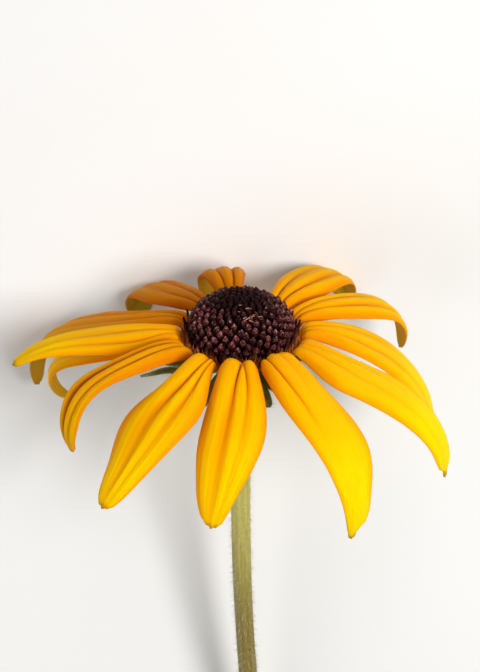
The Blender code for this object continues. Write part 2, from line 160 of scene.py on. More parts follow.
# Stage
FLOOR_HALF = 1.5
AIM = (-0.15, -0.75)  # what the camera looks at, right of and above the middle of the disc, in millimetres
LIT = (0, 0.03, 0.01)  # what the lights look at, in metres
# Lights: name, place and size in metres, power in watts
LIGHTS = (
    ("key_light", (0.36, 0.20, 0.60), 0.30, 4.6),
    ("fill_light", (-0.55, -0.15, 0.50), 0.60, 2),
    ("top_light", (0, 0.75, 0.30), 0.40, 0.8),
)
WORLD_STRENGTH = 0.24


@dataclass
class Petal:
    """Angles in degrees, lengths in millimetres. Left and right as seen from outside."""

    turn: float  # direction of the blade round the axis
    length: float
    neck: float  # half width where it comes over the rim
    rise: float  # slope at the crest, half way along the blade and at the tip
    mid: float
    tip: float
    left: tuple = (4.3, 0.45, 0.75)  # half width, where along the blade, and its share near the tip
    right: tuple = (4.3, 0.45, 0.75)
    sway: float = 0.0  # how far the tip swings to the side
    roll: float = 0.0  # twist of the outer end
    hump: float = 1.0  # how steeply it climbs out from under the disc
    climb: float = 0.0  # how much further along than on the others its crest is
    end: float = 0.9  # half width at the tip
    nub: float = 0.0  # half width of the small point that ends it, if it has one
    root: float | None = None  # direction of the claw, where it differs
    lobes: tuple = (0.1, -0.25, 0.1)  # how far the three lobes stand up at the rim
    creases: tuple = ((-0.33, -0.36, 1.0), (0.33, 0.36, 0.9))  # place at the rim and half way, and depth
    pinch: float = 0.3  # how far the creases close up at the rim
    fading: float = 0.0  # how much shallower the creases are half way along
    deep: float = 0.0  # how much painted shade it has, as on the petals that lie in shadow behind the disc
    yellow: float = 0.0  # how much yellower it is than the others

    @property
    def crest(self):
        return CREST + self.climb

    @property
    def claw(self):
        return self.turn if self.root is None else self.root


PETALS = (
    Petal(268, 33.6, 2.8, -18, -48, -60, sway=-30, climb=1.2, left=(5, 0.54, 0.8),
          right=(4.7, 0.41, 0.51), lobes=(0.15, -0.3, 0), pinch=0.96,
          creases=((0.1, -0.2, 1), (0.36, 0.36, 0.8))),
    Petal(300, 40, 2.9, -9, -34, -108, sway=3, climb=0.9, left=(3.4, 0.28, 0.44),
          right=(5.6, 0.54, 0.67), end=0.6, lobes=(0.1, 0.3, 0.2), pinch=0.1, yellow=0.1, nub=0.7,
          fading=0.7, creases=((-0.62, -0.15, 1), (0.15, 0.4, 0.3))),
    Petal(335, 38.4, 2.45, -8, -24, -94, sway=-7, roll=-3, yellow=0.2, nub=0.5,
          left=(4.9, 0.3, 0.5), right=(4.3, 0.55, 0.8),
          creases=((-0.3, -0.2, 0.4), (0.35, 0.45, 0.5))),
    Petal(3, 34.2, 2.2, 3, -37, -82, sway=-13, roll=4, left=(4.2, 0.45, 0.78), right=(4.7, 0.36, 0.7),
          creases=((-0.33, -0.36, 0.7), (0.33, 0.36, 0.6))),
    Petal(29, 32.2, 2, 12, -18, -113, sway=-15, deep=0.05, left=(4, 0.5, 0.75)),
    Petal(56, 30.6, 2.3, 16, -12, -98, sway=-13, deep=0.12, left=(4.4, 0.5, 0.75),
          right=(5, 0.36, 0.75)),
    Petal(80, 25, 1.7, -20, -65, -110, hump=0.7, left=(3.9, 0.5, 0.75), right=(3.9, 0.5, 0.75)),
    Petal(99, 30, 1.9, 38, -49, -124, deep=0.55, left=(3.8, 0.5, 0.75), right=(3.8, 0.5, 0.75)),
    Petal(126, 31, 2.1, 0, -18, -102, deep=0.6),
    Petal(153, 44.2, 1.9, -10, -23, -104, sway=-2, hump=0.9, root=148, deep=0.42,
          left=(4, 0.5, 0.75), right=(3.5, 0.5, 0.75)),
    Petal(168.5, 33.6, 1.1, -10, -14, -165, sway=8, hump=0.03, root=164, deep=0.2,
          left=(2.8, 0.5, 0.75), right=(3.6, 0.5, 0.75)),
    Petal(181.5, 32.2, 2.15, 0, -5, -38, sway=10, root=184.5, deep=0.05, left=(4.3, 0.33, 0.67),
          right=(4.4, 0.24, 0.52), creases=((-0.2, -0.05, 0.7), (0.42, 0.55, 1))),
    Petal(211, 35.2, 1.9, 12, -13, -120, sway=22, roll=16, root=207, deep=0.26, left=(4.2, 0.58, 0.78),
          right=(2.1, 0.5, 0.93), end=0.8, creases=((-0.5, -0.42, 2.1), (0.2, 0.2, 1.8))),
    Petal(238.5, 35.4, 2.05, -9, -32, -52, sway=-18, hump=0.95, climb=0.9, left=(5.7, 0.51, 0.66),
          right=(5, 0.36, 0.56), root=236, end=0.95, lobes=(0.25, -0.1, -0.2),
          yellow=0.1, pinch=0.1, creases=((0.42, -0.15, 1), (0.75, 0.34, 1))),
)


def colour(name, words, default):
    return FloatVectorProperty(
        name=name, description=words, default=default, subtype="COLOR", size=3, min=0, max=1
    )


def measure(name, words, default):
    return FloatProperty(name=name, description=words, default=default, unit="LENGTH", min=0)


def how_many(name, words, default):
    return IntProperty(name=name, description=words, default=default, min=0)


class PetalSettings(bpy.types.PropertyGroup):
    thickness: measure("Thickness", "Thickness of a petal", 0.00032)
    along: how_many("Rows", "Rows of points along a petal", 100)
    across: how_many("Columns", "Columns of points across a petal", 49)
    base: colour("Base", "Petal colour where it comes over the rim", (0.92, 0.35, 0))
    middle: colour("Middle", "Petal colour half way along", (0.94, 0.44, 0))
    tip: colour("Tip", "Petal colour near the tip", (0.98, 0.59, 0))
    worn_tip: colour("Worn tip", "Colour of a petal's very tip", (0.30, 0.09, 0))
    yellow: colour("Yellow", "Colour of the yellower petals", (0.98, 0.72, 0))
    # Painted shade between the ridges and towards the sides of a petal; the same orange also draws its
    # faint streaks and the rim along its edges
    shade_and_streak: colour("Valley", "Petal colour between the ridges", (0.84, 0.24, 0))
    # Painted shade: the dark line in the bottom of the creases
    line: colour("Groove", "Colour in the bottom of the grooves", (0.36, 0.045, 0))
    # Painted shade: the dark orange laid on the petals that lie in shadow behind the disc
    deep: colour("Deep", "Colour of the petals behind the disc", (0.26, 0.022, 0))
    back: colour("Back", "Colour of the petals' underside", (0.50, 0.33, 0.02))


class DiscSettings(bpy.types.PropertyGroup):
    # Painted shade between the florets, on their feet and on the dome floor
    dark: colour("Dark", "Colour between the florets", (0.002, 0.0005, 0.0005))
    bud: colour("Bud", "Colour of the florets", (0.008, 0.0012, 0.0013))
    red: colour("Red", "Colour of the redder florets", (0.040, 0.0035, 0.0038))
    # Painted highlight on the upper side of the florets
    painted_sheen: colour("Sheen", "Colour of the florets' upper side", (0.15, 0.028, 0.028))
    # Painted highlight: glints on the tips of the florets where they face up the dome
    painted_glint: colour("Bloom", "Colour of the worn tips of the florets", (0.56, 0.27, 0.25))
    scale: colour("Scale", "Colour of the foot of the scales at the rim", (0.50, 0.11, 0.004))
    scale_tip: colour("Scale tip", "Colour of the tips of the scales", (0.030, 0.006, 0.005))
    pollen: colour("Pollen", "Colour of loose pollen grains", (0.72, 0.56, 0.40))
    florets: how_many("Florets", "How many florets the disc has", 275)
    bud_height: measure("Bud height", "Length of a floret's bud above its foot", 0.00150)
    bud_sink: measure("Bud sink", "How deep the buds' feet stand in the dome", 0.0005)
    scales: how_many("Scales", "How many scales stand round the rim", 360)
    broad_scales: how_many("Broad scales", "How many broad dark scales stand above them", 30)
    points: how_many("Points", "How many dark points stand between the lower florets", 90)
    grains: how_many("Grains", "How many pollen grains lie between the florets", 13)


class GreenSettings(bpy.types.PropertyGroup):
    bract: colour("Bract", "Colour of the bracts under the head", (0.13, 0.19, 0.045))
    bract_pale: colour("Pale bract", "Colour of the paler patches on them", (0.23, 0.25, 0.06))
    bract_rib: colour("Rib", "Colour of a bract's middle rib", (0.34, 0.38, 0.16))
    bract_tip: colour("Bract tip", "Colour of a bract's dry tip", (0.30, 0.22, 0.06))
    stem: colour("Stem", "Colour of the stem near the head", (0.66, 0.60, 0.14))
    # Darker and browner towards the cut end: partly a browner stem, partly painted shade where the light
    # falls off along it
    stem_brown_and_shade: colour("Lower stem", "Colour of the stem near its cut end", (0.165, 0.105, 0.001))
    stem_groove: colour("Stem groove", "Colour between the ribs of the stem", (0.30, 0.27, 0.06))
    stem_fleck: colour("Stem fleck", "Colour of the pale flecks on the stem", (0.62, 0.60, 0.33))
    stem_rim: colour("Stem rim", "Colour of the stem just above the cut", (0.30, 0.20, 0.07))
    pith: colour("Pith", "Colour of the cut end", (0.66, 0.66, 0.42))
    hair: colour("Hair", "Colour of the fine hairs", (0.72, 0.69, 0.38))
    hair_dull: colour("Dull hair", "Colour of the duller hairs", (0.62, 0.60, 0.38))
    hair_length: measure("Hair length", "Length of a hair on the stem", 0.0009)
    stem_hairs: how_many("Stem hairs", "How many hairs the stem has", 4200)
    bract_hair_length: measure("Bract hair length", "Length of a hair on a bract", 0.00075)
    bract_hairs: how_many("Bract hairs", "How many hairs each bract has", 110)


class StageSettings(bpy.types.PropertyGroup):
    floor: colour("Floor", "Colour of the floor", (0.80, 0.79, 0.77))
    lens: FloatProperty(name="Lens", description="Focal length on a 36 mm tall sensor", default=105)
    distance: measure("Distance", "From the camera to the middle of the disc", 0.2956)
    rise: FloatProperty(
        name="Rise", description="How far the camera stands above the disc's plane",
        default=math.radians(30), subtype="ANGLE",
    )


class FlowerSettings(bpy.types.PropertyGroup):
    petals: PointerProperty(type=PetalSettings)
    disc: PointerProperty(type=DiscSettings)
    green: PointerProperty(type=GreenSettings)
    stage: PointerProperty(type=StageSettings)


# Shader maths


class Value:
    """A socket that reads like a number: operators add Math nodes."""

    def __init__(self, paint, socket):
        self.paint, self.socket = paint, socket

    def _math(self, operation, *values):
        return self.paint.node("ShaderNodeMath", values, operation=operation)

    def __add__(self, other):
        return self._math("ADD", self, other)

    def __sub__(self, other):
        return self._math("SUBTRACT", self, other)

    def __rsub__(self, other):
        return self._math("SUBTRACT", other, self)

    def __mul__(self, other):
        return self._math("MULTIPLY", self, other)

    __radd__, __rmul__ = __add__, __mul__

    def clamp(self):
        return self._math("MINIMUM", self._math("MAXIMUM", self, 0), 1)

    def step(self, low, high):
        """0 below low, 1 above high, smooth between."""
        inputs = (self, low, high, 0, 1)
        return self.paint.node("ShaderNodeMapRange", inputs, interpolation_type="SMOOTHSTEP")


class Paint:
    """Builds one material."""

    def __init__(self, name):
        self.material = bpy.data.materials.new(name)
        self.material.use_nodes = True
        self.tree = self.material.node_tree
        self.tree.nodes.clear()

    def node(self, kind, inputs=(), output=0, **settings):
        """Adds a node with a number, colour, vector or Value for each input, by name or in order."""
        made = self.tree.nodes.new(kind)
        for name, value in settings.items():
            setattr(made, name, value)
        for name, value in inputs.items() if isinstance(inputs, dict) else enumerate(inputs):
            socket = made.inputs[name]
            if isinstance(value, Value):
                self.tree.links.new(value.socket, socket)
            elif isinstance(value, (int, float)):
                socket.default_value = value
            else:
                socket.default_value = (*value, 1)[: len(socket.default_value)]
        return Value(self, made.outputs[output]) if len(made.outputs) else None

    def field(self, name):
        """A number that the mesh carries at each point."""
        return self.node("ShaderNodeAttribute", (), "Fac", attribute_type="GEOMETRY", attribute_name=name)

    def place(self):
        """The point on the surface, in millimetres."""
        where = self.node("ShaderNodeTexCoord", (), "Object")
        return self.node("ShaderNodeVectorMath", (where, (1000, 1000, 1000)), operation="MULTIPLY")

    def vector(self, x, y, z):
        return self.node("ShaderNodeCombineXYZ", (x, y, z))

    def noise(self, where, scale, detail=3, rough=0.5):
        inputs = {"Vector": where, "Scale": scale, "Detail": detail, "Roughness": rough}
        return self.node("ShaderNodeTexNoise", inputs)

    def mix(self, share, first, second):
        return self.node("ShaderNodeMix", {0: share, 6: first, 7: second}, 2, data_type="RGBA")

    def over(self, shade, *layers):
        """Lays colours over a shade, each where its mask says."""
        for mask, above in layers:
            shade = self.mix(mask, shade, above)
        return shade

    def bump(self, height, distance, strength=1):
        inputs = {"Height": height, "Distance": distance, "Strength": strength}
        return self.node("ShaderNodeBump", inputs)

    def surface(self, **inputs):
        inputs = {name.replace("_", " "): value for name, value in inputs.items()}
        shader = self.node("ShaderNodeBsdfPrincipled", inputs)
        self.node("ShaderNodeOutputMaterial", {"Surface": shader})
        return self.material


# Curves and meshes


def smooth_curve(x, knots, values):
    """A smooth curve through the knots that never swings past them."""
    knots = np.asarray(knots, float)
    values = np.asarray(values, float)
    step = np.diff(knots)
    slope = np.diff(values) / step
    lean = np.concatenate([slope[:1], np.zeros(len(slope) - 1), slope[-1:]])
    for i in range(1, len(slope)):
        before, after = slope[i - 1], slope[i]
        if before * after > 0:
            a = 2 * step[i] + step[i - 1]
            b = step[i] + 2 * step[i - 1]
            lean[i] = (a + b) / (a / before + b / after)
    i = np.clip(np.searchsorted(knots, x, side="right") - 1, 0, len(slope) - 1)
    t = np.clip((x - knots[i]) / step[i], 0, 1)
    up = t * t * (3 - 2 * t)
    return (
        values[i] * (1 - up)
        + values[i + 1] * up
        + step[i] * lean[i] * t * (1 - t) ** 2
        - step[i] * lean[i + 1] * t * t * (1 - t)
    )


def smooth_profile(profile, count):
    """More points along a turned outline, each corner a little rounded."""
    profile = np.array(profile)
    reach = np.concatenate([[0], np.cumsum(np.hypot(*np.diff(profile, axis=0).T))])
    at = np.linspace(0, reach[-1], count)
    pairs = np.stack([np.interp(at, reach, profile[:, k]) for k in (0, 1)], -1)
    middle = (pairs[:-2] + 2 * pairs[1:-1] + pairs[2:]) / 4
    return [tuple(pair) for pair in np.concatenate([pairs[:1], middle, pairs[-1:]])]


def bell(x, width):
    """1 at x = 0, and next to nothing beyond twice the width."""
    return np.exp(-((x / width) ** 2))


def unit(vectors):
    return vectors / np.maximum(np.linalg.norm(vectors, axis=-1, keepdims=True), 1e-9)


def around(sides, first=0):
    """Even steps round a whole turn."""
    return 2 * math.pi * (np.arange(sides) + first) / sides


def grid_normals(points):
    return unit(np.cross(np.gradient(points, axis=0), np.gradient(points, axis=1)))


def spun(radius, height, turn):
    """The point at a radius and a height, turned round the axis."""
    return np.stack(np.broadcast_arrays(radius * np.cos(turn), radius * np.sin(turn), height), -1)


def head_turn():
    c, s = math.cos(math.radians(TILT)), math.sin(math.radians(TILT))
    return np.array(((1, 0, 0), (0, s, c), (0, -c, s)))


def lying(points):
    """From the upright head to the lying flower, still in millimetres."""
    return np.asarray(points) @ head_turn().T + np.array(HEAD_AT)


def about_axis(points, degrees):
    c, s = math.cos(math.radians(degrees)), math.sin(math.radians(degrees))
    return np.asarray(points) @ np.array(((c, s, 0), (-s, c, 0), (0, 0, 1)))


def put(name, data):
    """Adds an object to the scene."""
    thing = bpy.data.objects.new(name, data)
    bpy.context.scene.collection.objects.link(thing)
    return thing


class Skin:
    """Collects points, faces and point fields of one piece, in millimetres."""

    def __init__(self, *fields):
        self.points, self.faces, self.count = [], [], 0
        self.fields = {name: [] for name in fields}

    def add(self, points, *faces, **fields):
        points = np.asarray(points, float).reshape(-1, 3)
        self.points.append(points)
        self.faces += [np.asarray(block, int) + self.count for block in faces]
        for name, kept in self.fields.items():
            value = np.asarray(fields.get(name, 0), float).ravel()
            kept.append(np.broadcast_to(value, (len(points),)))
        self.count += len(points)

    def build(self, name, material, slot, replaces=()):
        mesh = bpy.data.meshes.new(name)
        faces = [face for block in self.faces for face in block.tolist()]
        mesh.from_pydata((np.concatenate(self.points) * MM).tolist(), [], faces)
        for field, kept in self.fields.items():
            made = mesh.attributes.new(field, "FLOAT", "POINT")
            made.data.foreach_set("value", np.concatenate(kept).astype(np.float32))
        mesh.shade_smooth()
        mesh.materials.append(material)
        piece = put(name, mesh)
        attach(piece, "root")
        if replaces:
            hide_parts(*replaces)


def grid_faces(rows, columns, wrap=False):
    """Quads of a grid of points, row after row. They face along rows x columns."""
    at = np.arange(rows * columns).reshape(rows, columns)
    if wrap:
        at = np.hstack([at, at[:, :1]])
    return np.stack([at[:-1, :-1], at[1:, :-1], at[1:, 1:], at[:-1, 1:]], axis=-1).reshape(-1, 4)


def sheet_faces(rows, columns):
    """A closed sheet: the upper grid of points, then the lower one."""
    half = rows * columns
    upper = grid_faces(rows, columns)
    at = np.arange(half).reshape(rows, columns)
    rim = np.concatenate([at[0], at[1:, -1], at[-1, -2::-1], at[-2:0:-1, 0]])
    after = np.roll(rim, -1)
    edge = np.stack([rim, after, after + half, rim + half], axis=-1)
    return np.concatenate([upper, upper[:, ::-1] + half, edge])


def add_sheet(skin, upper, lower, fields, **same):
    """A closed sheet between two grids of points. Its fields are alike on both."""
    both = {name: np.tile(values.ravel(), 2) for name, values in fields.items()}
    skin.add(np.stack([upper, lower]), sheet_faces(*upper.shape[:2]), **both, **same)


def fan_faces(count, first, tip, flip=False):
    k = np.arange(count)
    faces = np.stack([first + k, first + (k + 1) % count, np.full(count, tip)], axis=-1)
    return faces[:, ::-1] if flip else faces


def tube_faces(rows, sides):
    """A closed tube of rings from foot to tip, then its foot and tip points."""
    last = rows * sides
    walls = grid_faces(rows, sides, wrap=True)[:, ::-1]
    caps = [fan_faces(sides, last - sides, last + 1), fan_faces(sides, 0, last, flip=True)]
    return walls, np.concatenate(caps)


def add_turned(skin, profile, sides, **fields):
    """A closed turned body through (radius, height) pairs, from its foot up."""
    rows = [spun(radius, height, around(sides)) for radius, height in profile]
    ends = np.array(((0, 0, profile[0][1]), (0, 0, profile[-1][1])))
    skin.add(lying(np.concatenate([*rows, ends])), *tube_faces(len(profile), sides), **fields)


# Petals


def petal_midline(petal, count=400):
    """The middle of a petal from its root outwards, with the directions of its side and its face."""
    s = np.linspace(0, petal.length, count)
    crest = petal.crest
    (first, little), (second, more) = CLAW_BENDS
    before, steepest = CREST_BEND
    knots = (0, first, second, crest - before, crest, (crest + petal.length) / 2, petal.length)
    slopes = (
        CLAW_SLOPE, CLAW_SLOPE + little * petal.hump, CLAW_SLOPE + more * petal.hump,
        petal.rise + (steepest - petal.rise) * petal.hump, petal.rise, petal.mid, petal.tip,
    )
    slope = np.radians(smooth_curve(s, knots, slopes))
    t = np.clip((s - crest) / (petal.length - crest), 0, 1)
    aside = CLAW_RADIUS * math.sin(math.radians(petal.claw - petal.turn))
    lead = -2 * math.atan(aside / CLAW_REACH)
    early = np.clip(s / crest, 0, 1)
    heading = np.radians(petal.sway) * t**1.3 + lead * (1 - early**2 * (3 - 2 * early))
    along = np.stack(
        [np.cos(slope) * np.cos(heading), np.cos(slope) * np.sin(heading), np.sin(slope)], axis=-1
    )
    points = np.zeros((count, 3))
    points[1:] = np.cumsum((along[1:] + along[:-1]) / 2 * np.diff(s)[:, None], axis=0)
    side = np.stack([-np.sin(heading), np.cos(heading), np.zeros(count)], axis=-1)
    normal = np.cross(along, side)
    roll = np.radians(petal.roll) * t
    c, n = np.cos(roll)[:, None], np.sin(roll)[:, None]
    return s, points, side * c + normal * n, normal * c - side * n


def petal_half_width(petal, s, v):
    """Half the width on either side of the midline, wide early and narrow towards the tip."""
    blade = petal.length - petal.crest
    outer = (0.8, 0.93, 0.962, 1) if petal.nub else (0.8, 0.93, 1)
    tip = (petal.nub, petal.nub * 0.85) if petal.nub else (petal.end,)
    halves = []
    for wide, peak, fade in (petal.left, petal.right):
        knots = (0, CLAW_EVEN, petal.crest - CLAW_EVEN, petal.crest)
        knots += tuple(petal.crest + blade * share for share in (peak, *outer))
        late = wide * fade
        widths = (*CLAW_HALF_WIDTHS, petal.neck * 0.8, petal.neck, wide, late, late * 0.66, *tip)
        halves.append(smooth_curve(s, knots, widths))
    return np.where(v < 0, *halves), (halves[0] + halves[1]) / 2


def crease_lines(petal, s, phase):
    """Where the two creases run at s, and how deep they are there."""
    t = np.clip((s - petal.crest) / (0.5 * (petal.length - petal.crest)), 0, 1)
    ease = t * (2 - t)
    close = petal.pinch * bell(np.clip(s - petal.crest + 1, 0, None), CREST_LENGTH)
    swing, pace = CREASE_WANDER
    lines = []
    for k, (start, middle, depth) in enumerate(petal.creases):
        wander = swing * np.sin(s / pace + phase + 2 * k)
        faded = depth * (1 - 0.3 * t * k) * (1 - petal.fading * t)
        lines.append((start + (middle - start) * ease + wander, faded))
    centre = (lines[0][0] + lines[1][0]) / 2
    return [(centre + (line - centre) * (1 - close), depth) for line, depth in lines]


def petal_section(petal, s, v, half, mean, phase):
    """Height across the petal: rounded lobes between two creases, long edges bent down."""

    def round_crest(middle, beyond):
        past = s - petal.crest - middle
        return bell(past, np.where(past > 0, beyond, CREST_LENGTH))

    (g, first), (h, second) = crease_lines(petal, s, phase)
    # Each lobe is a third of the way across, wherever its creases run
    lobed = np.where(
        v < g,
        -1 + (v + 1) / (g + 1) * 2 / 3,
        np.where(v < h, -1 / 3 + (v - g) / (h - g) * 2 / 3, 1 / 3 + (v - h) / (1 - h) * 2 / 3),
    )
    near = round_crest(1, 7.5)
    soft = CREASE_SOFT - CREST_SHARPER * near
    wave = np.sqrt(np.cos(1.5 * math.pi * lobed) ** 2 + soft**2) - soft
    wave = wave + 0.75 * near * wave * (1 - wave)
    ends = np.clip(s / RIDGE_RUN_OUT, 0, 1) * np.clip((petal.length - s) / RIDGE_RUN_OUT, 0.25, 1)
    depth = first + (second - first) * np.clip(1.5 * lobed + 0.5, 0, 1)
    tall = (RIDGE + CREST_RIDGE * near) * depth * ends
    ridge = tall * (wave - WAVE_MIDDLE) * np.minimum(1, mean / RIDGE_HALF_WIDTH)
    left, middle, right = petal.lobes
    lift = np.interp(lobed, (-0.75, -0.3, 0.3, 0.75), (left, middle, middle, right))
    shoulder = 0.2 * near * mean * v**4
    height = ridge + round_crest(-0.4, 4) * lift - EDGE_BEND * half * v * v - shoulder
    return height, 1 - (1 - wave) * np.clip(depth, 0, 1)


def petal_grid(petal, rows, columns, phase):
    """Points of a petal's middle layer, their normals, their shares along and across, and its ridges."""
    s, middle, side, normal = petal_midline(petal)
    spread = np.linspace(-1, 1, columns)
    v = (spread + 0.06 * np.sin(math.pi * spread))[None, :]
    notch = TIP_NOTCH * (1 - np.cos(3 * math.pi * v)) + TIP_CORNER * v * v
    at = np.linspace(0, 1, rows)[:, None] * (petal.length - notch)

    def read(values):
        return np.stack([np.interp(at, s, values[:, k]) for k in range(3)], axis=-1)

    half, mean = petal_half_width(petal, at, v)
    lift, ridges = petal_section(petal, at, v, half, mean, phase)
    blade = np.clip((at - petal.crest) / 5, 0, 1)
    fine = 0
    for high, ribs, swing, pace, shift in FINE_RIBS:
        fine = fine + high * np.cos(math.pi * (ribs * v + swing * np.sin(pace * at + shift * phase)))
    high, pace = EDGE_WAVE
    wave = high * v * np.abs(v) * np.sin(at / pace + phase + 1.3 * np.sign(v))
    lift = lift + blade * (fine * np.minimum(1, mean / 3) + wave)
    points = read(middle) + read(side) * (v * half)[..., None] + read(normal) * lift[..., None]
    return points, grid_normals(points), at / petal.length, v + 0 * at, ridges


def pressed(upper, lower):
    """Flattens a petal where it meets the surface, as in the solids."""
    for first, second in ((upper, lower), (lower, upper)):
        under = (first[..., 2] < CONTACT) & (first[..., 2] <= second[..., 2])
        first[..., 2] = np.where(under, CONTACT, first[..., 2])
        second[..., 2] = np.where(under, np.maximum(second[..., 2], PRESSED_THICKNESS), second[..., 2])
    return upper, lower


def petal_material(colours):
    m = Paint("petal_skin")
    along, across, tone = m.field("along"), m.field("across"), m.field("tone")
    streak = m.noise(m.vector(across * 7, along * 2.2, tone * 40), 1.7, 4, 0.6)
    patch = m.noise(m.place(), 0.16, 3)
    # ridge and sides are masks for painted shade: between the ridges, and towards the long edges
    ridge = m.field("ridge") + (streak - 0.5) * 0.5
    sides = (across * across + (patch - 0.5) * 0.9).step(0.32, 1)
    # line is where the painted crease shade falls
    line = (m.field("groove") * (0.45 + streak)).clamp()
    shade = m.over(
        m.mix(along.step(0.18, 0.5), colours.base, colours.middle),
        ((along + (patch - 0.5) * 0.5).step(0.42, 0.9), colours.tip),
        (m.field("yellow") * along.step(0.12, 0.45), colours.yellow),
        # Painted shade between the ridges and along the sides
        ((1 - ridge.step(0.1, 0.8)) * (1.1 - along * 0.75), colours.shade_and_streak),
        (sides * (1 - along * 0.5) * 0.75, colours.shade_and_streak),
        # Painted shade in the bottom of the creases
        (line * 0.8, colours.line),
        # Faint orange streaks and an orange rim along the edges, in the same colour
        (streak.step(0.58, 0.7) * (1 - along) * 0.35, colours.shade_and_streak),
        (m.field("edge") * 0.5, colours.shade_and_streak),
        ((along + (streak - 0.5) * 0.04).step(0.965, 1) * 0.8, colours.worn_tip),
        # Painted shade on the petals behind the disc, which lie in shadow
        (m.field("deep"), colours.deep),
        (m.field("under") * 0.8, colours.back),
    )
    cells = m.noise(m.place(), 6, 2)
    veins = m.noise(m.vector(across * 60, along * 5, tone * 40), 1, 3)
    return m.surface(
        Base_Color=shade,
        Roughness=0.42 + cells * 0.16,
        Normal=m.bump(veins * 0.6 + cells * 0.4, 0.00006, 0.7),
        Subsurface_Weight=0.35,
        Subsurface_Radius=(0.0018, 0.0005, 0.0001),
        Subsurface_Scale=1,
        Specular_IOR_Level=0.05,
        Specular_Tint=(1, 0.75, 0.2, 1),
    )


def add_petal(index, petal, settings, material):
    """One petal as a closed sheet, thinner towards its edges."""
    phase = PETAL_PHASE * index
    points, normals, along, across, ridges = petal_grid(petal, settings.along, settings.across, phase)
    start = spun(CLAW_RADIUS, CLAW_HEIGHT, math.radians(petal.claw))
    thin = EDGE_THICKNESS + (1 - EDGE_THICKNESS) * (1 - np.abs(across) ** 10)
    thick = settings.thickness / MM * thin[..., None]
    layers = [lying(about_axis(points + normals * thick / k, petal.turn) + start) for k in (2, -2)]
    # groove: painted shade along the creases, fading towards the tip
    groove = 0
    for line, depth in crease_lines(petal, along * petal.length, phase):
        fade = np.clip(1.25 - along * (2.2 - 0.8 * depth), 0, None)
        groove = groove + fade * depth * bell(across - line, 0.03 + 0.04 * depth)
    edge = np.clip((np.abs(across) - EDGE_START) / (1 - EDGE_START), 0, 1) ** 2
    fields = {"along": along, "across": across, "groove": groove, "ridge": ridges, "edge": edge}
    skin = Skin(*fields, "under", "deep", "yellow", "tone")
    add_sheet(
        skin, *pressed(*layers), fields, under=np.repeat([0, 1], along.size),
        deep=petal.deep, yellow=petal.yellow, tone=0.5 + 0.5 * math.sin(phase * 2.3),
    )
    skin.build(f"petal_{index:02d}", material, "petal", [f"ray_floret_{index:02d}"])


class FLOWER_OT_petals(bpy.types.Operator):
    """Builds the fourteen petals"""

    bl_idname = "flower.petals"
    bl_label = "Petals"

    def execute(self, context):
        settings = context.scene.flower.petals
        material = petal_material(settings)
        for index, petal in enumerate(PETALS, 1):
            add_petal(index, petal, settings, material)
        return {"FINISHED"}


# Disc


def dome_rows(count=400):
    """Points down the outline of the disc, the share of its surface above each, and all its surface."""
    bend = np.linspace(0, math.pi / 2, count)
    high = DISC_DOME * np.cos(bend) ** (2 / DOME_POWER)
    radius = DISC_RADIUS * np.sin(bend) ** (2 / DOME_POWER)
    skirt = np.linspace(0, 1, 30)[1:]
    high = np.concatenate([high, skirt * DISC_LOWEST])
    radius = np.concatenate([radius, DISC_RADIUS - DISC_TAPER * skirt])
    step = np.hypot(np.diff(high), np.diff(radius))
    area = np.concatenate([[0], np.cumsum(step * (radius[1:] + radius[:-1]) / 2)])
    return high, radius, area / area[-1], 2 * math.pi * area[-1]


def dome_place(share, turn):
    """A point on the dome, its outward normal, the way up the dome and the way round."""
    high, radius, area, _ = dome_rows()
    r = np.interp(share, area, radius)
    z = np.interp(share, area, high)
    out = np.where(z > 0, (r / DISC_RADIUS) ** (DOME_POWER - 1) / DISC_RADIUS, 1)
    up = np.where(z > 0, (np.maximum(z, 0) / DISC_DOME) ** (DOME_POWER - 1) / DISC_DOME, 0)
    out, up = out / np.hypot(out, up), up / np.hypot(out, up)
    round_ = np.stack([-np.sin(turn), np.cos(turn), 0 * turn], -1)
    return spun(r, z, turn), spun(out, up, turn), spun(-up, out, turn), round_


def dome_point(share, turn):
    return [each[0] for each in dome_place(np.array([share]), np.array([turn]))]


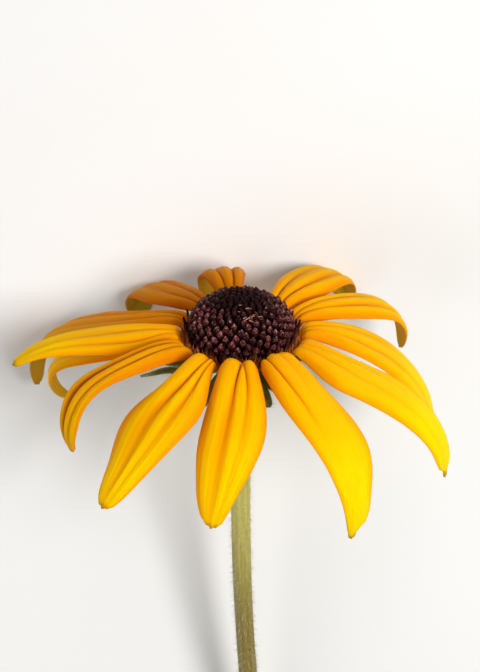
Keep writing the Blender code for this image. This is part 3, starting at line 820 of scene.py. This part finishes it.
def add_florets(skin, settings, rng):
    """Closed buds in a golden angle spiral, each leaning up the dome."""
    count = settings.florets
    index = np.arange(count)
    share = ((index + 0.5) / count) ** DISC_CROWDING
    whole = dome_rows()[3]
    crowd = DISC_CROWDING * ((index + 0.5) / count) ** (DISC_CROWDING - 1)
    gap = np.sqrt(whole / count * crowd * HEXAGON)
    turn = index * GOLDEN_ANGLE
    point, normal, climb, round_ = dome_place(share, turn)
    drift = rng.normal(0, 0.04, (2, count, 1)) * gap[:, None]
    point = point + round_ * drift[0] + climb * drift[1] - normal * settings.bud_sink / MM
    least, more, varied = BUD_LEAN
    lean = np.radians(least + more * share + rng.uniform(-varied, varied, count))[:, None]
    twist = rng.uniform(-0.2, 0.2, count)[:, None]
    axis = unit(normal * np.cos(lean) + climb * np.sin(lean) + round_ * twist)
    side = unit(np.cross(climb, axis))
    over = np.cross(axis, side)
    height = settings.bud_height / MM * rng.uniform(0.88, 1.12, count) * (0.8 + 0.25 * share)
    wide = side * (0.49 * gap * rng.uniform(0.9, 1.04, count))[:, None]
    tall = over * (0.5 * gap * rng.uniform(0.9, 1.1, count))[:, None]
    ring_turn = around(BUD_SIDES)
    seam = rng.uniform(0, 2 * math.pi, count)
    lobe = 1 + np.cos(BUD_LOBES * ring_turn[None, :] + seam[:, None])
    rings = []
    for radius, level in BUD:
        lobes = 1 - LOBE_DEPTH * max(0, level) * lobe
        a = (radius * lobes * np.cos(ring_turn))[..., None] * wide[:, None, :]
        b = (radius * lobes * np.sin(ring_turn))[..., None] * tall[:, None, :]
        rings.append(a + b + (axis * (level * height)[:, None])[:, None, :] + point[:, None, :])
    foot = point + axis * (BUD[0][1] * height)[:, None]
    tip = point + axis * height[:, None]
    points = np.concatenate([*rings, foot[:, None], tip[:, None]], axis=1)
    levels = np.concatenate([np.repeat([level for _, level in BUD], BUD_SIDES), [BUD[0][1], 1]])
    faces = tube_faces(len(BUD), BUD_SIDES)
    tones = rng.uniform(0, 1, count)
    for k in range(count):
        facing = (points[k] - point[k]) @ climb[k] / gap[k]
        skin.add(lying(points[k]), *faces, level=levels, tone=tones[k], share=share[k], upward=facing)


def add_dome(skin):
    """The dark floor between the florets, closed underneath. It takes the painted shade of the gaps."""
    count, sides = FLOOR_GRID
    high, radius, _, _ = dome_rows(count)
    inside, below = FLOOR_DEPTH
    rows = [(max(r - inside, 0.02), z - below) for r, z in zip(radius, high)]
    rows += FLOOR_UNDERSIDE
    add_turned(skin, rows[::-1], sides, level=-0.6)


def blade(foot, way, side, length, width, thick, curl):
    """A small pointed scale: rings of a flat diamond, foot and tip points at the end."""
    t = np.linspace(0, 1, SCALE_RINGS)
    face = np.cross(way, side)
    half = width / 2 * (1 - t**2.2) ** 0.8 * (0.75 + 0.6 * t * (1 - t)) + 0.015
    turns = around(SCALE_SIDES, 0.5)
    spine = foot + np.outer(t * length, way) + np.outer(curl * t * t * length, face)
    ring = np.cos(turns)[None, :, None] * side * half[:, None, None]
    ring = ring + np.sin(turns)[None, :, None] * face * (thick / 2 * (1 - 0.6 * t))[:, None, None]
    points = (spine[:, None, :] + ring).reshape(-1, 3)
    points = np.concatenate([points, [foot, spine[-1] + way * 0.02 * length]])
    return points, np.concatenate([np.repeat(t, SCALE_SIDES), [0, 1]])


def add_scales(skin, settings, rng):
    """Chaffy scales: a fringe round the rim, and dark points between the florets."""
    faces = tube_faces(SCALE_RINGS, SCALE_SIDES)

    def add(share, turn, kind, size=1):
        drawn = [rng.uniform(*each) if isinstance(each, tuple) else each for each in kind]
        sink, outward, aside, length, width, orange, below, thick = drawn
        length *= size
        point, normal, climb, round_ = dome_point(share, turn)
        way = unit(climb + normal * outward + round_ * aside)
        side = unit(np.cross(way, normal))
        foot = point - normal * sink - climb * below * length
        points, level = blade(foot, way, side, length, width, thick, rng.uniform(-0.1, 0.12))
        skin.add(lying(points), *faces, level=level, tone=rng.uniform(), orange=orange)

    for k in range(settings.scales):
        turn = 2 * math.pi * (k + rng.uniform(-0.45, 0.45)) / settings.scales
        add(RIM_SHARE, turn, THIN_SCALE if k % 3 else WIDE_SCALE)
    for k in range(settings.broad_scales):
        turn = 2 * math.pi * (k + rng.uniform(-0.4, 0.4)) / settings.broad_scales
        add(BROAD_SHARE, turn, BROAD_SCALE, 1 - 0.4 * max(0, -math.sin(turn)))
    least, more = POINT_SHARES
    for _ in range(settings.points):
        add(least + more * rng.uniform(), rng.uniform(0, 2 * math.pi), POINT_SCALE)


def floret_material(colours):
    m = Paint("disc_floret")
    level, tone, upward = m.field("level"), m.field("tone"), m.field("upward")
    grain = m.noise(m.place(), 2.6, 4, 0.65)
    fine = m.noise(m.place(), 9, 2)
    share = m.field("share")
    # Painted shade: towards the top of the dome the florets are less red, and middle fades the painted
    # highlights at the top and at the rim
    redder = (tone + (grain - 0.5) * 0.8).step(0.45, 0.95) * share.step(0.02, 0.35)
    middle = 0.1 + 0.9 * (share.step(0.04, 0.4) * (1 - share.step(0.6, 0.9) * 0.7))
    # Painted highlight on the upper side of each bud
    lit = (upward * 1.2 + (grain - 0.5) * 1.3).step(0.2, 0.85) * middle
    rust = share.step(0.9, 1) * (1 - level.step(0, 0.6)) * grain.step(0.35, 0.6)
    # Painted highlight: speckled glints on the upper side of the bud tips
    glinting = (level.step(0.25, 0.7) * (tone * 0.6 + upward) * middle).clamp()
    speckled = glinting * (grain * 0.45 + fine * 0.55).step(0.52, 0.6)
    shade = m.mix(redder, colours.bud, colours.red)
    shade = m.mix(lit * (0.35 + 0.5 * tone), shade, colours.painted_sheen)
    # Painted shade: the lower part of each bud and the dome floor between the buds
    shade = m.mix(level.step(-0.05, 0.6), colours.dark, shade)
    shade = m.over(shade, (rust, colours.scale), (speckled * 0.95, colours.painted_glint))
    return m.surface(
        Base_Color=shade,
        Roughness=0.14 + fine * 0.2,
        Normal=m.bump(grain * 0.6 + fine * 0.4, 0.00020, 0.9),
        Specular_IOR_Level=0.05,
        Specular_Tint=(1, 0.62, 0.60, 1),
    )


def scale_material(colours):
    m = Paint("disc_scale")
    level, tone, orange = m.field("level"), m.field("tone"), m.field("orange")
    grain = m.noise(m.place(), 3, 3)
    ripe = (level + (grain - 0.5) * 0.6 - orange * 0.45).step(0.4, 0.85)
    shade = m.over(
        m.mix(ripe, colours.scale, colours.scale_tip),
        ((tone + grain * 0.4).step(0.8, 1.1) * orange * 0.25, colours.pollen),
        ((1 - orange) * 0.97, colours.scale_tip),
    )
    return m.surface(
        Base_Color=shade,
        Roughness=0.4 + grain * 0.2,
        Normal=m.bump(grain, 0.00005, 0.6),
        Specular_IOR_Level=0.04,
    )


def pollen_material(colours):
    m = Paint("pollen")
    grain = m.noise(m.place(), 5, 2)
    shade = m.mix(grain.step(0.35, 0.7), colours.scale, colours.pollen)
    return m.surface(Base_Color=shade, Roughness=0.5 + grain * 0.2)


def add_pollen(skin, settings, rng):
    """A few pale grains caught between the florets, near the middle of the side that faces up."""
    for _ in range(settings.grains):
        share = rng.uniform(0.03, 0.24)
        turn = math.radians(rng.normal(272, 36))
        point, normal, climb, round_ = dome_point(share, turn)
        way = unit(round_ + climb * rng.uniform(-0.8, 0.8) + normal * rng.uniform(-0.1, 0.3))
        points, _ = blade(
            point + normal * rng.uniform(0.3, 0.45), way, unit(np.cross(way, normal)),
            length=rng.uniform(0.35, 0.8), width=rng.uniform(0.06, 0.12), thick=0.08,
            curl=rng.uniform(-0.3, 0.3),
        )
        skin.add(lying(points), *tube_faces(SCALE_RINGS, SCALE_SIDES))


class FLOWER_OT_disc(bpy.types.Operator):
    """Builds the dark cone of disc florets with its scales and pollen"""

    bl_idname = "flower.disc"
    bl_label = "Disc"

    def execute(self, context):
        settings = context.scene.flower.disc
        rng = np.random.default_rng(SEED)
        florets = Skin("level", "tone", "share", "upward")
        add_dome(florets)
        add_florets(florets, settings, rng)
        florets.build("disc_florets", floret_material(settings), "disc", ["disc_cone"])
        scales = Skin("level", "tone", "orange")
        add_scales(scales, settings, rng)
        scales.build("disc_scales", scale_material(settings), "disc")
        pollen = Skin()
        add_pollen(pollen, settings, rng)
        pollen.build("disc_pollen", pollen_material(settings), "disc")
        return {"FINISHED"}


# Green parts


def add_hairs(skin, roots, ways, drift, length, radius, rng):
    """Slim three-sided hairs that leave along ways and bend along drift."""
    count = len(roots)
    side = unit(np.cross(ways, drift + 0.01))
    over = np.cross(ways, side)
    size = (length * rng.uniform(0.5, 1.15, count))[:, None]
    turn = around(3)
    ring = side[:, None, :] * np.cos(turn)[:, None] + over[:, None, :] * np.sin(turn)[:, None]
    foot = (roots - ways * 0.08)[:, None, :] + ring * radius
    middle = (roots + ways * size * 0.55 + drift * size * 0.08)[:, None, :] + ring * radius * 0.6
    tip = (roots + ways * size + drift * size * 0.3)[:, None, :]
    points = np.concatenate([foot, middle, tip], axis=1)
    base = 7 * np.arange(count)[:, None, None]
    k = np.arange(3)
    after = (k + 1) % 3
    walls = np.stack([k, after, after + 3, k + 3], -1)
    caps = np.concatenate([np.stack([k + 3, after + 3, 0 * k + 6], -1), [[2, 1, 0]]])
    skin.add(points, *((block[None] + base).reshape(-1, block.shape[1]) for block in (walls, caps)))


def bract_turn(index):
    return 5 + 360 / BRACTS * index - 6.5 * math.sin(1.2 * (index - 11))


def bract_grid(index, rows, columns):
    """The same lance shaped blade as in the solids, with a rib and wavy edges."""
    long = index == LONG_BRACT
    size, wide = LONG_BRACT_SIZE if long else BRACT_SIZE
    if not long:
        size += 0.7 * math.sin(index * 2.4)
    droop = 0 if long else 6 - 3 * math.cos(index * 1.7)
    t = np.linspace(0, 1, rows)[:, None]
    v = np.linspace(-1, 1, columns)[None, :]
    climb = np.clip((t - 0.3) / 0.4, 0, 1) if long else 0 * t
    radius, height = BRACT_FOOT
    z = height - 0.35 * (index % 2) - math.tan(math.radians(droop)) * size * t * (1.6 - 0.6 * t)
    z = z + 1.5 * climb * climb * (3 - 2 * climb)
    half = wide * (1 - t) ** 0.55 * (0.72 + 0.9 * t) + 0.14 * (1 - t) + 0.03
    if long:
        half = wide * (1 - t) ** 0.8 + 0.3 * (1 - t) ** 0.3 + 0.02
    ripple = 0.1 * np.sin(5 * t + index + 1.5 * np.sign(v)) * v * v
    groove = -0.12 * bell(v, 0.16) * (1 - t)
    z = z - 0.2 * np.abs(v) * half + ripple + groove
    points = np.stack([radius + size * t + 0 * v, v * half, z], -1)
    return points, grid_normals(points), t + 0 * v, v + 0 * t


def add_bracts(skin, hair_skin, settings, rng, rows=28, columns=13):
    """The ring of bracts, with hairs on both faces and most of all along the edges."""
    for index in range(BRACTS):
        points, normals, along, across = bract_grid(index, rows, columns)
        body, rib = BRACT_LOWER
        thick = body + rib * bell(across, 0.2) * (1 - along * 0.6)
        upper = points + normals * BRACT_UPPER
        lower = points - normals * thick[..., None]
        layers = [lying(about_axis(layer, bract_turn(index))) for layer in (upper, lower)]
        fields = {"along": along, "across": across}
        add_sheet(skin, *layers, fields, tone=0.5 + 0.5 * math.sin(index * 3.7))
        count = settings.bract_hairs
        i = rng.integers(2, rows - 1, count)
        rim = rng.uniform(0, 1, count) < 0.45
        edge = np.where(rng.uniform(0, 1, count) < 0.5, 0, columns - 1)
        j = np.where(rim, edge, rng.integers(0, columns, count))
        under = rng.uniform(0, 1, count) < 0.6
        face = np.where(under[:, None], -normals[i, j], normals[i, j])
        sideways = np.sign(across[i, j])[:, None] * np.array((0, 1, 0))
        way = unit(np.where(rim[:, None], sideways + face * 0.3, face) + rng.normal(0, 0.25, (count, 3)))
        roots = np.where(under[:, None], lower[i, j], upper[i, j])
        drift = np.tile((1, 0, 0), (count, 1))
        roots, way, drift = (about_axis(x, bract_turn(index)) for x in (roots, way, drift))
        way, drift = (x @ head_turn().T for x in (way, drift))
        add_hairs(hair_skin, lying(roots), way, drift, settings.bract_hair_length / MM, BRACT_HAIR, rng)


def bract_material(colours):
    m = Paint("bract_green")
    along, across, tone = m.field("along"), m.field("across"), m.field("tone")
    patch = m.noise(m.place(), 0.9, 3)
    veins = m.noise(m.vector(across * 14, along * 2, tone * 20), 1.5, 3)
    rib = 1 - (across * across * 60).clamp()
    shade = m.over(
        m.mix((patch * 0.8 + tone * 0.3).step(0.3, 0.8), colours.bract, colours.bract_pale),
        ((rib * 0.7 + veins.step(0.55, 0.8) * 0.35).clamp() * 0.8, colours.bract_rib),
        (along.step(0.82, 1) * 0.7, colours.bract_tip),
    )
    return m.surface(
        Base_Color=shade,
        Roughness=0.55 + patch * 0.15,
        Normal=m.bump(veins, 0.00008, 0.8),
        Sheen_Weight=0.15,
    )


def stem_material(colours):
    m = Paint("stem_skin")
    along, rib, turn = m.field("along"), m.field("rib"), m.field("turn")
    streak = m.noise(m.vector(turn * 9, along * 16, 0), 1.6, 4, 0.6)
    fleck = m.noise(m.place(), 3.2, 3, 0.6)
    shade = m.over(
        # Darker towards the cut end: partly a browner stem, partly painted shade
        m.mix((along + (streak - 0.5) * 0.2).step(0.08, 0.38), colours.stem, colours.stem_brown_and_shade),
        ((1 - rib) * 0.35 + streak.step(0.55, 0.8) * 0.25, colours.stem_groove),
        (fleck.step(0.6, 0.75) * 0.4, colours.stem_fleck),
        (along.step(0.975, 1) * 0.5, colours.stem_rim),
        (m.field("pith"), colours.pith),
    )
    return m.surface(
        Base_Color=shade,
        Roughness=0.5 + fleck * 0.2,
        Normal=m.bump(streak * 0.5 + fleck * 0.5, 0.0001, 0.7),
        Sheen_Weight=0.2,
        Subsurface_Weight=0.1,
        Subsurface_Radius=(0.0008, 0.0008, 0.0003),
        Subsurface_Scale=1,
    )


def hair_material(colours):
    m = Paint("fine_hair")
    grain = m.noise(m.place(), 0.5, 2)
    shade = m.mix(grain.step(0.3, 0.7), colours.hair, colours.hair_dull)
    return m.surface(Base_Color=shade, Roughness=0.5, Sheen_Weight=0.2)


class FLOWER_OT_involucre(bpy.types.Operator):
    """Builds the receptacle and the hairy bracts under the head"""

    bl_idname = "flower.involucre"
    bl_label = "Bracts"

    def execute(self, context):
        settings = context.scene.flower.green
        rng = np.random.default_rng(SEED + 1)
        green, fuzz = Skin("along", "across", "tone"), Skin()
        rows, sides = RECEPTACLE_GRID
        add_turned(green, smooth_profile(RECEPTACLE[::-1], rows), sides, across=0.6, along=0.2)
        add_bracts(green, fuzz, settings, rng)
        green.build("bracts", bract_material(settings), "involucre", ["involucre"])
        fuzz.build("bract_hairs", hair_material(settings), "involucre")
        return {"FINISHED"}


def stem_line(count):
    """The middle of the stem in the lying flower: a straight slope, then level."""
    slope = math.tan(math.radians(TILT))
    start = -STEM_TOP * math.cos(math.radians(TILT))
    top = HEAD_AT[2] + STEM_TOP * math.sin(math.radians(TILT))
    drop = top - STEM_REST
    near = STEM_STRAIGHT - start
    ease = 2 * (drop / slope - near) + near
    back = np.linspace(-0.9, STEM_LENGTH - start, count)
    t = np.clip((back - near) / (ease - near), 0, 1)
    height = top - slope * (np.minimum(back, near) + (ease - near) * (t - t * t / 2))
    far = back + start
    bend_from, bend_length, curve, beyond = STEM_BEND
    past = far - bend_from
    aside = curve * np.clip(past, 0, bend_length) ** 2 + beyond * np.clip(past - bend_length, 0, None)
    return np.stack([aside + HEAD_AT[0], HEAD_AT[1] - far, height], axis=-1)


def add_stem_hairs(skin, settings, rng, along, out, walls):
    """Hairs all over the stem, apart from those that would go through the surface."""
    count = settings.stem_hairs
    rows, sides = walls.shape[:2]
    i = rng.integers(4, rows - 1, count)
    j = rng.integers(0, sides, count)
    roots = walls[i, j] + along[i] * rng.uniform(-0.5, 0.5, (count, 1)) * (STEM_LENGTH / rows)
    ways = out[i, j] + along[i] * rng.normal(0.1, 0.25, (count, 1)) + rng.normal(0, 0.15, (count, 3))
    ways = unit(ways)
    size = settings.hair_length / MM
    clear = roots[:, 2] + np.minimum(ways[:, 2], 0) * size * 1.3 > 0.05
    add_hairs(skin, roots[clear], ways[clear], along[i][clear], size, STEM_HAIR, rng)


class FLOWER_OT_stem(bpy.types.Operator):
    """Builds the ribbed stem with its cut end and its hairs"""

    bl_idname = "flower.stem"
    bl_label = "Stem"

    def execute(self, context):
        settings = context.scene.flower.green
        rng = np.random.default_rng(SEED + 2)
        rows, sides = STEM_GRID
        line = stem_line(rows)
        along = unit(np.gradient(line, axis=0))
        side = unit(np.cross(along, (0, 0, 1)))
        up = np.cross(side, along)
        share = np.linspace(0, 1, rows)
        turn = around(sides)
        rib = np.cos(STEM_RIBS * turn[None, :] + 2.2 * share[:, None]) * 0.5 + 0.5
        radius = STEM_RADIUS * (1 + 0.18 * np.clip(1 - share * 12, 0, 1) - 0.04 * share)
        radius = radius[:, None] * (0.965 + 0.045 * rib + 0.012 * np.sin(31 * share)[:, None])
        out = side[:, None] * np.cos(turn)[None, :, None] + up[:, None] * np.sin(turn)[None, :, None]
        walls = line[:, None] + out * radius[..., None]
        end = [line[-1] + out[-1] * (radius[-1] * k)[:, None] + along[-1] * d for k, d in CUT_END]
        middle = line[-1] + along[-1] * CUT_END[-1][1]
        points = np.concatenate([walls.reshape(-1, 3), *end, [line[0], middle]])
        points[:, 2] = np.maximum(points[:, 2], 0.01)
        tail = len(CUT_END)
        skin = Skin("along", "turn", "rib", "pith")
        skin.add(
            points, *tube_faces(rows + tail, sides),
            along=np.concatenate([np.repeat(share, sides), np.ones(tail * sides), [0, 1]]),
            turn=np.concatenate([np.tile(np.abs(turn / math.pi - 1), rows + tail), [0, 0]]),
            rib=np.concatenate([rib.ravel(), np.ones(tail * sides), [1, 1]]),
            pith=np.concatenate([np.zeros(rows * sides), np.repeat(CUT_PITH, sides), [0, 1]]),
        )
        skin.build("stem_ribbed", stem_material(settings), "stem", ["stem"])
        fuzz = Skin()
        add_stem_hairs(fuzz, settings, rng, along, out, walls)
        fuzz.build("stem_hairs", hair_material(settings), "stem")
        return {"FINISHED"}


# Stage


def add_light(name, place, size, power):
    light = bpy.data.lights.new(name, "AREA")
    light.shape, light.size, light.energy = "DISK", size, power
    lamp = put(name, light)
    lamp.location = place
    lamp.rotation_euler = (Vector(LIT) - Vector(place)).to_track_quat("-Z", "Y").to_euler()


class FLOWER_OT_stage(bpy.types.Operator):
    """Sets up the floor, the soft lights and the camera"""

    bl_idname = "flower.stage"
    bl_label = "Stage"

    def execute(self, context):
        settings = context.scene.flower.stage
        m = Paint("floor")
        cloud = m.noise(m.place(), 0.02, 2)
        shade = m.mix(cloud * 0.2, settings.floor, tuple(0.92 * x for x in settings.floor))
        mesh = bpy.data.meshes.new("floor")
        corners = [(x * FLOOR_HALF, y * FLOOR_HALF, 0) for x, y in ((-1, -1), (1, -1), (1, 1), (-1, 1))]
        mesh.from_pydata(corners, [], [(0, 1, 2, 3)])
        mesh.materials.append(m.surface(Base_Color=shade, Roughness=0.9, Specular_IOR_Level=0.2))
        put("floor", mesh)

        for light in LIGHTS:
            add_light(*light)
        world = bpy.data.worlds.new("studio")
        world.use_nodes = True
        sky = world.node_tree.nodes["Background"]
        sky.inputs["Color"].default_value = (1, 1, 1, 1)
        sky.inputs["Strength"].default_value = WORLD_STRENGTH
        context.scene.world = world
        context.scene.view_settings.view_transform = "Standard"

        lens = bpy.data.cameras.new("camera")
        lens.lens, lens.sensor_width = settings.lens, 36
        lens.clip_start, lens.clip_end = 0.01, 10
        camera = put("camera", lens)
        right = np.array((1, 0, 0))
        back = np.array((0, -math.cos(settings.rise), math.sin(settings.rise)))
        up = np.cross(back, right)
        place = back * settings.distance / MM + right * AIM[0] + up * AIM[1]
        turn = head_turn() @ np.stack([right, up, back], axis=-1)
        camera.matrix_world = Matrix.Translation(lying(place) * MM) @ Matrix(turn.tolist()).to_4x4()
        context.scene.camera = camera
        return {"FINISHED"}


class FLOWER_PT_panel(bpy.types.Panel):
    """Lists the pieces of the flower and their settings"""

    bl_label = "Black Eyed Susan"
    bl_idname = "FLOWER_PT_panel"
    bl_space_type = "VIEW_3D"
    bl_region_type = "UI"
    bl_category = "Flower"

    def draw(self, context):
        for key, operators in PANEL_ROWS:
            box = self.layout.box()
            for operator in operators:
                box.operator(operator)
            group = getattr(context.scene.flower, key)
            for name in group.__annotations__:
                box.prop(group, name)


PANEL_ROWS = (
    ("petals", ("flower.petals",)),
    ("disc", ("flower.disc",)),
    ("green", ("flower.involucre", "flower.stem")),
    ("stage", ("flower.stage",)),
)
CLASSES = (
    PetalSettings, DiscSettings, GreenSettings, StageSettings, FlowerSettings,
    FLOWER_OT_petals, FLOWER_OT_disc, FLOWER_OT_involucre, FLOWER_OT_stem, FLOWER_OT_stage,
    FLOWER_PT_panel,
)


def register():
    for cls in CLASSES:
        bpy.utils.register_class(cls)
    bpy.types.Scene.flower = PointerProperty(type=FlowerSettings)


def unregister():
    del bpy.types.Scene.flower
    for cls in reversed(CLASSES):
        bpy.utils.unregister_class(cls)


def main():
    register()
    bpy.ops.flower.petals()
    bpy.ops.flower.disc()
    bpy.ops.flower.involucre()
    bpy.ops.flower.stem()
    bpy.ops.flower.stage()


if __name__ == "__main__":
    main()
